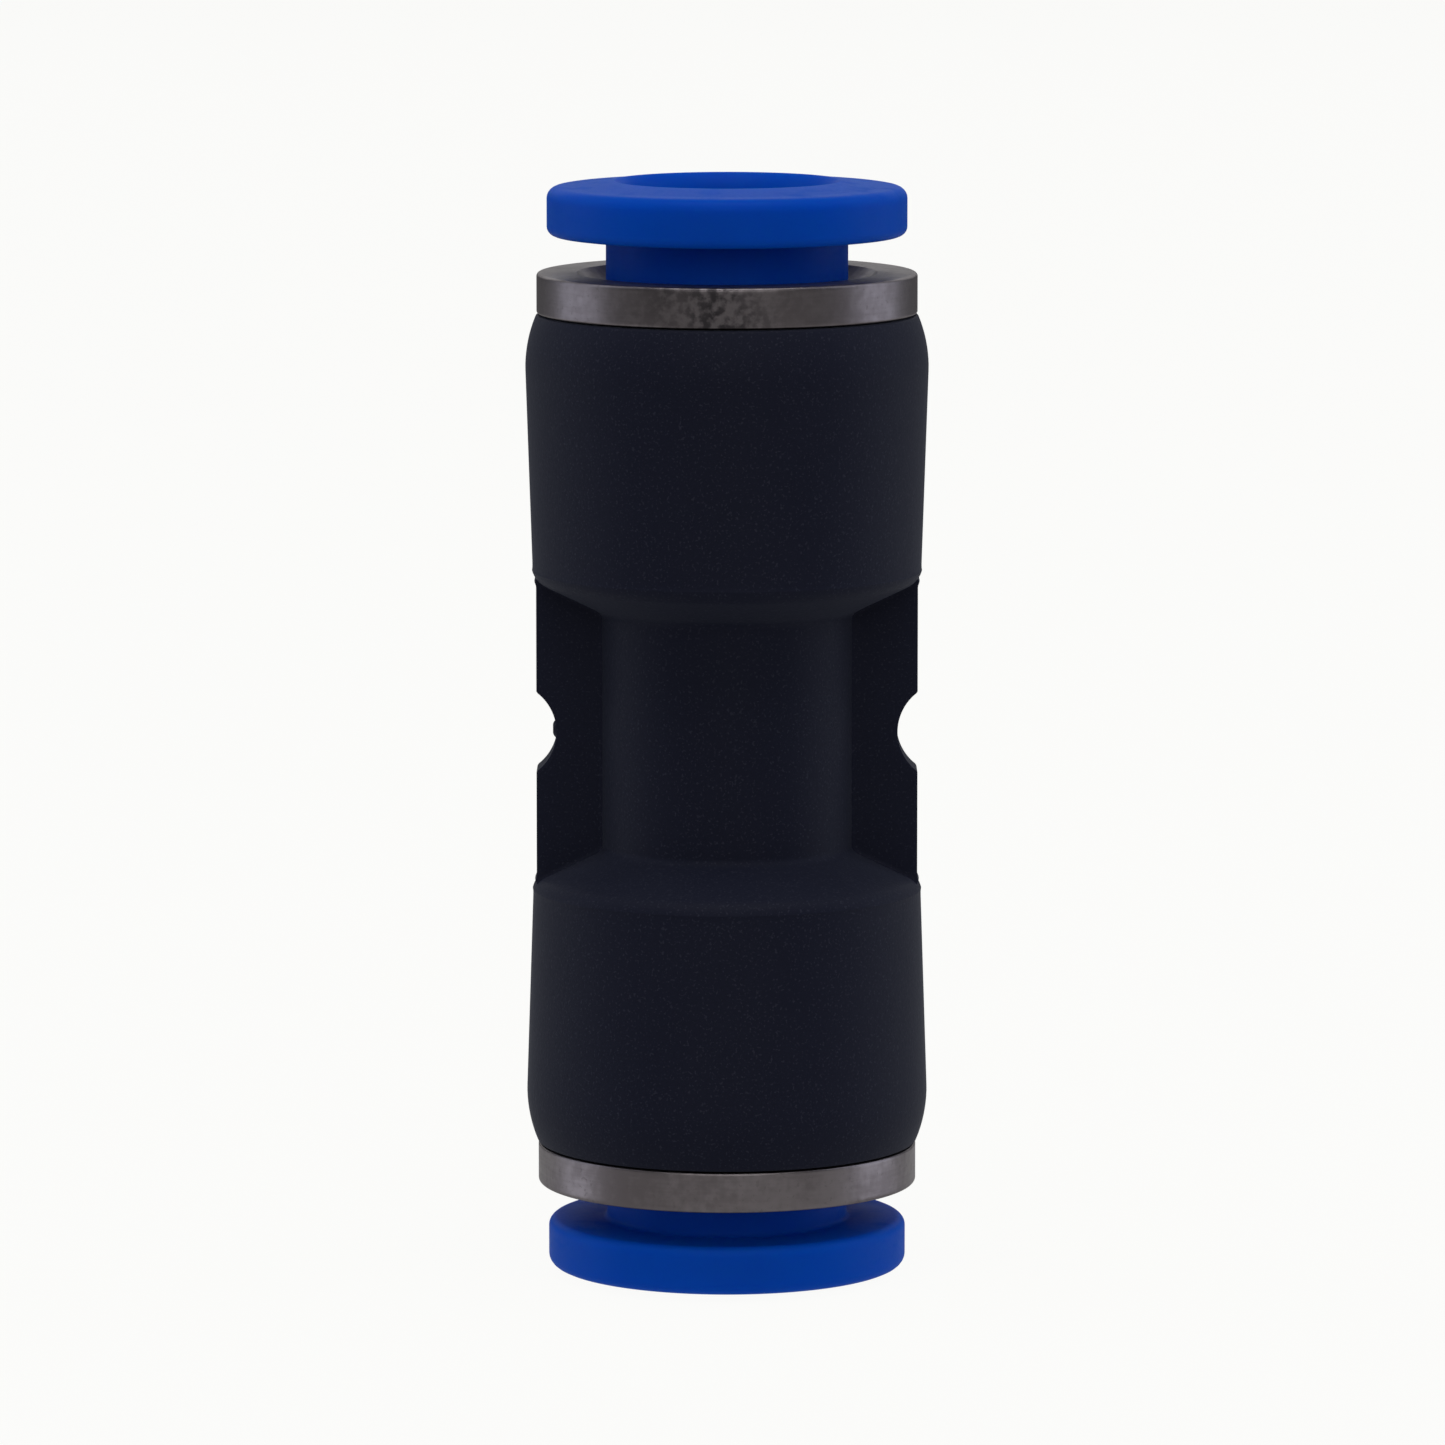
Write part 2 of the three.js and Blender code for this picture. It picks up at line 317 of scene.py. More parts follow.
class Wire:
    """A shader socket that adds Math nodes when it is used in an expression."""

    def __init__(self, bench: Bench, socket: bpy.types.NodeSocket) -> None:
        """Keeps the bench that the socket's nodes stand on."""
        self.bench = bench
        self.socket = socket

    def _sum(self, operation: str, first: Wire | float, second: Wire | float) -> Wire:
        """One Math node over two values."""
        return self.bench.add("ShaderNodeMath", {"operation": operation}, {0: first, 1: second})

    def __add__(self, other: Wire | float) -> Wire:
        """self + other."""
        return self._sum("ADD", self, other)

    def __radd__(self, other: float) -> Wire:
        """other + self."""
        return self._sum("ADD", other, self)

    def __sub__(self, other: Wire | float) -> Wire:
        """self - other."""
        return self._sum("SUBTRACT", self, other)

    def __rsub__(self, other: float) -> Wire:
        """other - self."""
        return self._sum("SUBTRACT", other, self)

    def __mul__(self, other: Wire | float) -> Wire:
        """self * other."""
        return self._sum("MULTIPLY", self, other)

    def __rmul__(self, other: float) -> Wire:
        """other * self."""
        return self._sum("MULTIPLY", other, self)

    def size(self) -> Wire:
        """The value without its sign."""
        return self.bench.add("ShaderNodeMath", {"operation": "ABSOLUTE"}, {0: self})

    def between(self, low: float, high: float) -> Wire:
        """A smooth step from 0 to 1.

        Args:
            low: value at which the step starts.
            high: value at which it ends.

        Returns:
            The step.
        """
        settings = {"interpolation_type": "SMOOTHSTEP", "clamp": True}
        links = {"Value": self, "From Min": low, "From Max": high}
        return self.bench.add("ShaderNodeMapRange", settings, links)


class Bench:
    """A new material and the nodes laid out on it."""

    def __init__(self, name: str) -> None:
        """Starts a node material with its own shader.

        Args:
            name: the material's name.
        """
        self.material = bpy.data.materials.new(name)
        self.material.use_nodes = True
        self.tree = self.material.node_tree
        self.surface = self.tree.nodes["Principled BSDF"]

    def _feed(self, node: bpy.types.Node, key: int | str, value: object) -> None:
        """Links or sets one socket of a node.

        Args:
            node: the node.
            key: the socket's place, identifier or name.
            value: a wire to link, or a value to set.
        """
        if isinstance(key, int):
            socket = node.inputs[key]
        else:
            named = [s for s in node.inputs if s.identifier == key]
            socket = named[0] if named else node.inputs[key]
        if isinstance(value, Wire):
            self.tree.links.new(value.socket, socket)
        else:
            socket.default_value = value

    def add(
        self,
        kind: str,
        settings: dict | None = None,
        links: dict | None = None,
        result: int | str = 0,
    ) -> Wire:
        """Adds one node.

        Args:
            kind: the node's type.
            settings: the node's own settings, set before its sockets.
            links: values or wires for its sockets.
            result: place or identifier of the output that is wanted.

        Returns:
            That output.
        """
        node = self.tree.nodes.new(kind)
        for key, value in (settings or {}).items():
            setattr(node, key, value)
        for key, value in (links or {}).items():
            self._feed(node, key, value)
        if isinstance(result, str):
            return Wire(self, next(s for s in node.outputs if s.identifier == result))
        return Wire(self, node.outputs[result])

    def place(self, scale: Triple = (1.0, 1.0, 1.0)) -> Wire:
        """The piece's own coordinates, stretched by a factor along each axis."""
        links = {"Vector": self.add("ShaderNodeTexCoord", result="Object"), "Scale": scale}
        return self.add("ShaderNodeMapping", {"vector_type": "POINT"}, links)

    def across(self) -> Wire:
        """Distance along X from the axis, in metres."""
        return self.add("ShaderNodeSeparateXYZ", {}, {"Vector": self.place()})

    def noise(self, scale: float, detail: float, stretch: Triple = (1.0, 1.0, 1.0)) -> Wire:
        """Noise of a number of grains to the metre, with detail octaves."""
        links = {"Vector": self.place(stretch), "Scale": scale, "Detail": detail}
        return self.add("ShaderNodeTexNoise", {"noise_dimensions": "3D"}, links)

    def tint(self, factor: Wire, plain: Wire | Colour, changed: Colour) -> Wire:
        """A colour that goes from plain to changed as factor goes from 0 to 1.

        Args:
            factor: how far the colour has changed.
            plain: the colour at 0, worked out by other nodes or given.
            changed: the colour at 1.

        Returns:
            The mixed colour.
        """
        first = plain if isinstance(plain, Wire) else (*plain, 1.0)
        links = {"Factor_Float": factor, "A_Color": first, "B_Color": (*changed, 1.0)}
        return self.add("ShaderNodeMix", {"data_type": "RGBA"}, links, "Result_Color")

    def relief(self, height: Wire, depth: float, strength: float = 1.0) -> Wire:
        """A bumped normal from a height between 0 and 1 that stands for depth metres."""
        links = {"Height": height, "Distance": depth, "Strength": strength}
        return self.add("ShaderNodeBump", {}, links)

    def close(self, **sockets: object) -> bpy.types.Material:
        """Feeds the shader's sockets.

        Args:
            **sockets: a value or wire for each socket, named with _ for a space.

        Returns:
            The finished material.
        """
        for key, value in sockets.items():
            self._feed(self.surface, key.replace("_", " "), value)
        return self.material


# ------------------------------------------------------------------------------------------------
# Finishes


@dataclass(frozen=True)
class MouldedBlack:
    """Glass-filled black moulding with a fine matt grain and a faint blue cast."""

    slot: str = "body_plastic"
    shade: Colour = (0.0058, 0.0074, 0.0205)
    speck: Colour = (0.024, 0.026, 0.044)
    grain: float = 9000.0
    grain_depth: float = 9e-6
    bloom: float = 0.07

    def material(self) -> bpy.types.Material:
        """Grain in the surface, glass specks in the colour, and flow marks in the gloss.

        Returns:
            The material.
        """
        bench = Bench("moulded_black")
        grain = bench.noise(self.grain, 3.0)
        flow = bench.noise(420.0, 2.0, (1.0, 1.0, 0.4))
        specks = bench.noise(13000.0, 1.0).between(0.58, 0.74)
        height = grain * 0.75 + flow * 0.25
        return bench.close(
            Base_Color=bench.tint(specks * 0.7 + flow * 0.2, self.shade, self.speck),
            Roughness=0.5 + 0.14 * grain + 0.08 * flow,
            Normal=bench.relief(height, self.grain_depth),
            Specular_IOR_Level=0.13,
            Sheen_Weight=self.bloom,
            Sheen_Roughness=0.45,
            Sheen_Tint=(0.78, 0.84, 1.0, 1.0),
        )


@dataclass(frozen=True)
class AcetalBlue:
    """Blue acetal moulding with a soft gloss and light scuffs from handling."""

    slot: str = "sleeve_plastic"
    shade: Colour = (0.0003, 0.086, 0.58)
    deep: Colour = (0.0002, 0.068, 0.49)

    def material(self) -> bpy.types.Material:
        """Slow changes of depth in the blue, a satin grain and a few rubbed patches.

        Returns:
            The material.
        """
        bench = Bench("acetal_blue")
        cloud = bench.noise(380.0, 2.0)
        grain = bench.noise(9000.0, 3.0)
        rubbed = bench.noise(1100.0, 3.0, (1.0, 1.0, 3.0)).between(0.5, 0.75)
        return bench.close(
            Base_Color=bench.tint(cloud * 0.7 + grain * 0.3, self.shade, self.deep),
            Roughness=0.4 + 0.12 * grain + 0.1 * rubbed,
            Normal=bench.relief(grain * 0.6 + cloud * 0.4, 4e-6),
            Specular_IOR_Level=0.05,
            Subsurface_Weight=0.6,
            Subsurface_Radius=(0.15, 0.5, 1.0),
            Subsurface_Scale=0.0015,
        )


@dataclass(frozen=True)
class NickelPlate:
    """Nickel plate over turned brass: tool lines, light mottling, and perhaps a patch of tarnish
    and painted shade.
    """

    # The patch's strength, place along X and half width paint shade over the ring's middle, with
    # tarnish blotches in it.
    tarnish_and_shade: float = 0.0
    shade_patch_at: float = -0.0004
    shade_patch_half: float = 0.0052
    slot: str = "plated_brass"
    bright: Colour = (0.27, 0.243, 0.25)
    dull: Colour = (0.2, 0.177, 0.182)
    # Colour of the patch of painted shade and tarnish.
    tarnish_and_shade_colour: Colour = (0.035, 0.032, 0.036)

    def material(self) -> bpy.types.Material:
        """Tool lines round the ring and faint rubs over it, with a patch of painted shade and
        tarnish broken into blotches.

        The patch lies where the distance along X from its middle, lengthened by noise, is under its
        half width. It is painted shade that darkens the middle of the ring as seen front on, and
        within it the plate is darker still wherever a finer noise is high, as blotches of tarnish.

        Returns:
            The material.
        """
        bench = Bench("nickel_plate")
        lines = bench.noise(600.0, 3.0, (1.0, 1.0, 18.0))
        clouds = bench.noise(500.0, 3.0)
        rubs = bench.noise(2600.0, 2.0, (1.0, 1.0, 0.25))
        blotches = bench.noise(3600.0, 5.0)
        worn = (clouds * 0.45 + lines * 0.15 + rubs * 0.15 + blotches * 0.25).between(0.38, 0.62)
        pits = bench.noise(7000.0, 2.0).between(0.64, 0.7)
        # Painted shade: a patch about the ring's middle along X darkens it, and its finer blotches
        # stand for tarnish.
        distance = (bench.across() - self.shade_patch_at).size() + 0.0035 * clouds
        tarnish_and_shade_patch = (1.0 - distance.between(0.0014, self.shade_patch_half)) * self.tarnish_and_shade
        tarnish_and_shade_darkening = tarnish_and_shade_patch * (0.3 + 0.7 * blotches.between(0.38, 0.6))
        plate = bench.tint(worn, self.bright, self.dull)
        marked = bench.tint(pits * 0.5, plate, self.dull)
        return bench.close(
            Base_Color=bench.tint(tarnish_and_shade_darkening, marked, self.tarnish_and_shade_colour),
            Roughness=0.3 + 0.06 * worn + 0.06 * lines + 0.12 * pits,
            Normal=bench.relief(lines * 0.3 + blotches * 0.5 + rubs * 0.2, 7e-6),
            Metallic=1.0,
        )


@dataclass(frozen=True)
class SpringSteel:
    """Stainless spring strip as it comes from the press, with rolling marks."""

    slot: str = "spring_steel"
    bright: Colour = (0.62, 0.62, 0.63)
    dull: Colour = (0.44, 0.44, 0.45)

    def material(self) -> bpy.types.Material:
        """Rolling marks along one direction of the strip.

        Returns:
            The material.
        """
        bench = Bench("spring_steel")
        rolled = bench.noise(700.0, 3.0, (14.0, 1.0, 1.0))
        return bench.close(
            Base_Color=bench.tint(rolled, self.bright, self.dull),
            Roughness=0.2 + 0.16 * rolled,
            Normal=bench.relief(rolled, 3e-6),
            Metallic=1.0,
        )


@dataclass(frozen=True)
class AcetalNatural:
    """Undyed acetal moulding, cream and slightly cloudy."""

    slot: str = "backing_plastic"
    shade: Colour = (0.72, 0.68, 0.57)
    cloudy: Colour = (0.62, 0.58, 0.46)

    def material(self) -> bpy.types.Material:
        """Clouds in the colour and a fine moulded grain.

        Returns:
            The material.
        """
        bench = Bench("acetal_natural")
        cloud = bench.noise(600.0, 3.0)
        grain = bench.noise(10000.0, 2.0)
        return bench.close(
            Base_Color=bench.tint(cloud, self.shade, self.cloudy),
            Roughness=0.38 + 0.14 * grain,
            Normal=bench.relief(grain, 3e-6),
        )


@dataclass(frozen=True)
class NitrileRubber:
    """Black nitrile rubber with a film of assembly grease."""

    slot: str = "seal_rubber"
    shade: Colour = (0.011, 0.011, 0.012)
    film: Colour = (0.03, 0.03, 0.029)

    def material(self) -> bpy.types.Material:
        """Patches where the grease has gathered are smoother and paler.

        Returns:
            The material.
        """
        bench = Bench("nitrile_rubber")
        grease = bench.noise(1300.0, 3.0).between(0.4, 0.66)
        grain = bench.noise(9000.0, 2.0)
        return bench.close(
            Base_Color=bench.tint(grease, self.shade, self.film),
            Roughness=0.66 - 0.3 * grease,
            Normal=bench.relief(grain * (1 - grease), 6e-6),
        )


@dataclass(frozen=True)
class LightTable:
    """Pale acrylic sheet, lit evenly from under it."""

    shade: Colour = (0.04, 0.04, 0.0395)
    cloudy: Colour = (0.035, 0.035, 0.0345)
    glow: float = 0.945

    def material(self) -> bpy.types.Material:
        """A faint cloud in the acrylic over the even light that comes through it.

        Returns:
            The material.
        """
        bench = Bench("light_table")
        cloud = bench.noise(60.0, 3.0)
        return bench.close(
            Base_Color=bench.tint(cloud, self.shade, self.cloudy),
            Roughness=0.9,
            Emission_Color=(1.0, 1.0, 0.985, 1.0),
            Emission_Strength=self.glow,
            Specular_IOR_Level=0.0,
        )


Finish = MouldedBlack | AcetalBlue | NickelPlate | SpringSteel | AcetalNatural | NitrileRubber


class PaintShop:
    """Makes each finish once and gives it to every piece that asks for it."""

    def __init__(self) -> None:
        """Starts with nothing mixed."""
        self.mixed: dict[Finish | LightTable, bpy.types.Material] = {}

    def coat(self, piece: bpy.types.Object, finish: Finish | LightTable) -> None:
        """Puts a finish on a piece.

        Args:
            piece: the piece.
            finish: its finish, mixed the first time that it is asked for.
        """
        if finish not in self.mixed:
            self.mixed[finish] = finish.material()
        piece.data.materials.append(self.mixed[finish])

    def dress(self, piece: bpy.types.Object, finish: Finish, node: str) -> bpy.types.Object:
        """Finishes a piece that stands for a solid.

        Args:
            piece: the new piece.
            finish: what it is made of.
            node: the solid that it stands for.

        Returns:
            The same piece.
        """
        self.coat(piece, finish)
        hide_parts(node)
        LOG.info("%s: %d faces, stands for %s", piece.name, len(piece.data.polygons), node)
        return piece


# ------------------------------------------------------------------------------------------------
# Moulded body


@dataclass
class MouldedBody:
    """The black housing: two barrels, the core between them, a notched web and a stepped bore."""

    shop: PaintShop
    node: str = "coupling_body"
    core: float = 3.98
    waist: float = 3.72
    neck: float = 6.08
    shoulder_slope: float = 26.0
    shoulder_round: float = 0.65
    parting: float = 4.99
    bead: float = 0.02
    bead_width: float = 0.07
    end_inset: float = 0.34
    end_length: float = 1.65
    web_inset: float = 0.16
    web_half: float = 0.85
    notch: float = 1.55
    notch_offset: float = 0.93
    gate_radius: float = 0.28
    gate_height: float = 0.12
    passage: float = 2.0
    socket: float = 3.05
    pocket: float = 4.55
    counterbore: float = 5.15
    stop: float = 1.3
    pocket_floor: float = 5.3
    ledge: float = 8.55
    edge_round: float = 0.1
    join_height: float = 12.7
    core_blend: float = 0.3
    notch_blend: float = 0.035
    web_round: float = 0.22
    web_blend: float = 0.35
    web_top: float = 4.7
    web_sink: float = 3.0
    root_limit: float = 5.0
    root_clear: float = 2.6
    corner_span: float = 0.3
    root_span: float = 1.2
    root_past: float = 1.6
    column_counts: tuple[int, ...] = (9, 8, 8, 12, 24)
    crease: float = 25.0

    def __post_init__(self) -> None:
        """Takes the barrel's radius and the body's end from its solid."""
        low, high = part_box(self.node)
        self.barrel = max(high.x, high.y) / MM
        self.end = high.z / MM

    def barrel_radius(self, height: np.ndarray) -> np.ndarray:
        """Radius of the turned outside at a height.

        The core runs up to the waist, a cone of the shoulder's slope leaves it, and an arc of the
        shoulder's rounding turns the cone towards the side. The arc stops at the mould's parting
        line, where a bead, bead exp(-distance / bead width), marks where the mould's two halves
        met. From there the side leans out in a straight line to the barrel's full radius, and a
        large arc brings it in at the end.

        Args:
            height: distance from the mid plane along the axis.

        Returns:
            The radius at each height.
        """
        h = np.abs(height)
        slope = math.radians(self.shoulder_slope)
        turn = math.pi / 2 - slope
        corner = self.waist + (self.neck - self.core) * math.tan(slope)
        centre = corner + self.shoulder_round * math.tan(turn / 2)
        cone = self.core + (h - self.waist) / math.tan(slope)
        drop = np.clip(centre - h, 0, self.shoulder_round)
        arc = self.neck - self.shoulder_round + np.sqrt(self.shoulder_round**2 - drop**2)
        foot = centre - self.shoulder_round * math.sin(turn)
        start = self.end - self.end_length
        short = centre - self.parting
        edge = self.neck - self.shoulder_round + math.sqrt(self.shoulder_round**2 - short**2)
        low = edge - self.bead
        past_line = np.clip((h - self.parting) / (start - self.parting), 0, 1)
        bead = self.bead * np.exp(-np.maximum(h - self.parting, 0) / self.bead_width)
        side = low + (self.barrel - low) * past_line + bead
        bend = (self.end_length**2 + self.end_inset**2) / (2 * self.end_inset)
        past = np.clip(h - start, 0, self.end_length)
        end = self.barrel - bend + np.sqrt(bend**2 - past**2)
        shoulder = joined(np.full_like(h, self.core), np.minimum(cone, self.neck), self.core_blend)
        upper = np.where(h < self.parting, arc, np.where(h < start, side, end))
        return np.where(h < foot, shoulder, upper)

    def web_edge(self, height: np.ndarray) -> np.ndarray:
        """Half width of the web: its straight edge, cut back by the notch's circle.

        Args:
            height: distance from the mid plane along the axis.

        Returns:
            The half width at each height.
        """
        edge = self.neck - self.web_inset
        half = np.sqrt(np.maximum(self.notch**2 - height**2, 0))
        cut = -(edge + self.notch_offset - half)
        return -joined(np.full_like(height, -edge), cut, self.notch_blend)

    def columns(self, height: np.ndarray) -> np.ndarray:
        """Angle of every column at each height, gathered where the web turns.

        Between 0 and a quarter turn the columns are spread evenly within five spans, whose ends
        follow the web's corner, atan(half thickness / half width), and the line where the web
        leaves the core, asin(half thickness / radius). The other quarters are mirror images.

        Args:
            height: height of each row.

        Returns:
            Angles, one row for each height.
        """
        corner = np.arctan2(self.web_half, self.web_edge(height))
        radius = np.minimum(self.barrel_radius(height), self.root_limit)
        clear = corner + math.radians(self.root_clear)
        root = np.maximum(np.arcsin(self.web_half / radius), clear)
        near, far = math.radians(self.corner_span), math.radians(self.root_span)
        knots = np.stack(
            [
                np.zeros_like(corner),
                corner - near,
                corner + near,
                root - far,
                root + self.root_past * far,
                np.full_like(corner, math.pi / 2),
            ],
            1,
        )
        counts = np.array(self.column_counts)
        span = np.repeat(np.arange(len(counts)), counts)
        part = np.arange(counts.sum()) - np.repeat(np.cumsum(counts) - counts, counts)
        part = part / counts[span]
        quarter = knots[:, span] * (1 - part) + knots[:, span + 1] * part
        whole = np.concatenate([quarter, knots[:, -1:]], 1)
        turned_back = whole[:, :0:-1]
        return np.concatenate(
            [quarter, math.pi - turned_back, math.pi + quarter, 2 * math.pi - turned_back], 1
        )

    def outside(self) -> tuple[np.ndarray, np.ndarray, np.ndarray]:
        """The outside between the two ends' roundings.

        The radius is the rounded larger of the turned outside and the web. The web's own radius is
        the rounded smaller of half width / |cos a| and half thickness / |sin a|, and it sinks
        inside the shoulder above the web's top. The gate's stub stands out of one notch's floor by
        height (1 - (distance / radius)^4).

        Returns:
            Radius, height and angle of each point, rows by columns.
        """
        # Rows lie closest together over the notch, the shoulder's arc and the parting line's bead.
        half = np.concatenate(
            [
                np.linspace(0, 1.5, 27)[:-1],
                np.linspace(1.5, 3.3, 9)[:-1],
                np.linspace(3.3, self.parting, 33)[:-1],
                self.parting + np.array([0.0, 0.02, 0.045, 0.075, 0.11, 0.16, 0.24]),
                np.linspace(5.3, 11.2, 9)[:-1],
                np.linspace(11.2, self.join_height, 9),
            ]
        )
        z = np.concatenate([-half[:0:-1], half])
        angle = self.columns(z)
        height = np.broadcast_to(z[:, None], angle.shape)
        turned = np.broadcast_to(self.barrel_radius(z)[:, None], angle.shape)
        cos, sin = np.abs(np.cos(angle)), np.abs(np.sin(angle))
        edge = self.web_edge(z)[:, None] / np.maximum(cos, 1e-3)
        face = self.web_half / np.maximum(sin, 1e-3)
        web = -joined(-edge, -face, self.web_round)
        web = web - self.web_sink * np.maximum(np.abs(height) - self.web_top, 0)
        across = edge * np.sin(angle)
        away = np.sqrt(across**2 + height**2) / self.gate_radius
        stub = self.gate_height * np.clip(1 - away**4, 0, 1) * (np.cos(angle) < 0)
        return joined(turned, web, self.web_blend) + stub, height, angle

    def inside(self) -> np.ndarray:
        """Outline over one end, down the stepped bore and back over the other end.

        Returns:
            Radius and height of each point.
        """
        join = float(self.barrel_radius(np.array([self.join_height]))[0])
        # Radius, height and rounding of each corner.
        upper = np.array(
            [
                [self.barrel - self.end_inset, self.end, self.edge_round],
                [self.counterbore, self.end, 0.16],
                [self.counterbore, self.ledge, 0.08],
                [self.pocket, self.ledge, 0.1],
                [self.pocket, self.pocket_floor, 0.15],
                [self.socket, self.pocket_floor, 0.25],
                [self.socket, self.stop, 0.08],
                [self.passage, self.stop, 0.15],
            ]
        )
        lower = upper[::-1] * np.array([1, -1, 1])
        ends = np.array([[join, self.join_height, 0.0], [join, -self.join_height, 0.0]])
        corners = np.concatenate([ends[:1], upper, lower, ends[1:]])
        rounded = soften(corners[:, :2], np.maximum(corners[:, 2], 1e-3), 4)
        return rounded.reshape(len(corners), -1, 2)[1:-1].reshape(-1, 2)

    def build(self) -> bpy.types.Object:
        """Makes the housing as one closed surface and seats it.

        Returns:
            The housing.
        """
        radius, height, angle = self.outside()
        outline = self.inside()
        bore_radius = np.repeat(outline[:, :1], angle.shape[1], 1)
        bore_height = np.repeat(outline[:, 1:], angle.shape[1], 1)
        bore_angle = np.repeat(angle[-1:], len(outline), 0)
        points = np.concatenate(
            [
                turned_on_axis(radius, height, angle),
                turned_on_axis(bore_radius, bore_height, bore_angle),
            ]
        )
        surface = Surface(points.reshape(-1, 3), ring_faces(*points.shape[:2]))
        piece = surface.lay("housing_moulding", self.crease)
        self.shop.dress(piece, MouldedBlack(), self.node)
        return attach(piece, "housing")


# ------------------------------------------------------------------------------------------------
# Pieces of one end


@dataclass
class EndPiece:
    """One piece of an end's stack, drawn for the upper mouth."""

    shop: PaintShop
    end: End

    def finished(self, surface: Surface, kind: str, finish: Finish, node: str) -> bpy.types.Object:
        """Turns a surface to its end, lays it into an object and finishes it.

        Args:
            surface: the piece as drawn for the upper mouth.
            kind: the last part of its name.
            finish: what it is made of.
            node: the last part of its solid's name.

        Returns:
            The piece, which rides on nothing yet.
        """
        piece = surface.turned(self.end).lay(f"{self.end.value}_{kind}")
        return self.shop.dress(piece, finish, self.end.node(node))

    def revolved(self, corners: np.ndarray, columns: int = 128) -> Surface:
        """Rounds an outline of radius, height and rounding a row, and turns it about the axis."""
        return revolve(soften(corners[:, :2], corners[:, 2], 5), columns)


@dataclass
class GuideRing(EndPiece):
    """The plated ring pressed into the body's end: head, ridged skirt, and the sleeve's throat."""

    columns: int = 192
    # Strength of the patch of painted shade and tarnish on the upper and the lower ring.
    tarnish_and_shade_upper: float = 0.9
    tarnish_and_shade_lower: float = 0.1
    throat: float = 3.85
    chamber: float = 4.3
    skirt: float = 4.95
    ridge: float = 0.15
    ridge_length: float = 0.55
    ridge_spacing: float = 0.85
    ridge_count: int = 3
    ridge_round: float = 0.02
    head_length: float = 1.25
    countersink: float = 0.8
    lip: float = 1.05
    bell_depth: float = 0.5
    bell_flare: float = 0.25

    def outline(self) -> np.ndarray:
        """Up the ridged skirt and the head, over the top, and down the throat and chamber.

        Returns:
            Radius, height and rounding of each corner.
        """
        reach = Reach.of(self.end.node("guide_ring"))
        head_foot = reach.top - self.head_length
        lip_foot = reach.top - self.countersink - self.lip
        feet = reach.foot + self.ridge_spacing * (0.5 + np.arange(self.ridge_count))
        low, high = np.full_like(feet, self.skirt), np.full_like(feet, self.skirt + self.ridge)
        tops = feet + self.ridge_length
        sides = [np.stack(side, 1) for side in ((low, feet), (high, tops), (low, tops))]
        ridges = np.stack(sides, 1).reshape(-1, 2)
        small = np.full((len(ridges), 1), self.ridge_round)
        return np.concatenate(
            [
                [[self.skirt, reach.foot, 0.06]],
                np.concatenate([ridges, small], 1),
                [
                    [self.skirt, head_foot, 0.03],
                    [reach.radius, head_foot, 0.07],
                    [reach.radius, reach.top, 0.11],
                    [self.throat + self.countersink, reach.top, 0.05],
                    [self.throat, reach.top - self.countersink, 0.12],
                    [self.throat, lip_foot, 0.04],
                    [self.chamber, lip_foot, 0.04],
                    [self.chamber, reach.foot + self.bell_depth, 0.1],
                    [self.chamber + self.bell_flare, reach.foot, 0.05],
                ],
            ]
        )

    def build(self) -> bpy.types.Object:
        """Makes the ring and seats it in the housing.

        Returns:
            The ring.
        """
        # The upper ring gets a strong patch of painted shade and tarnish, the lower ring a faint
        # one.
        tarnish_and_shade = self.tarnish_and_shade_upper if self.end is End.UPPER else self.tarnish_and_shade_lower
        surface = self.revolved(self.outline(), self.columns)
        piece = self.finished(surface, "plated_ring", NickelPlate(tarnish_and_shade=tarnish_and_shade), "guide_ring")
        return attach(piece, "housing")


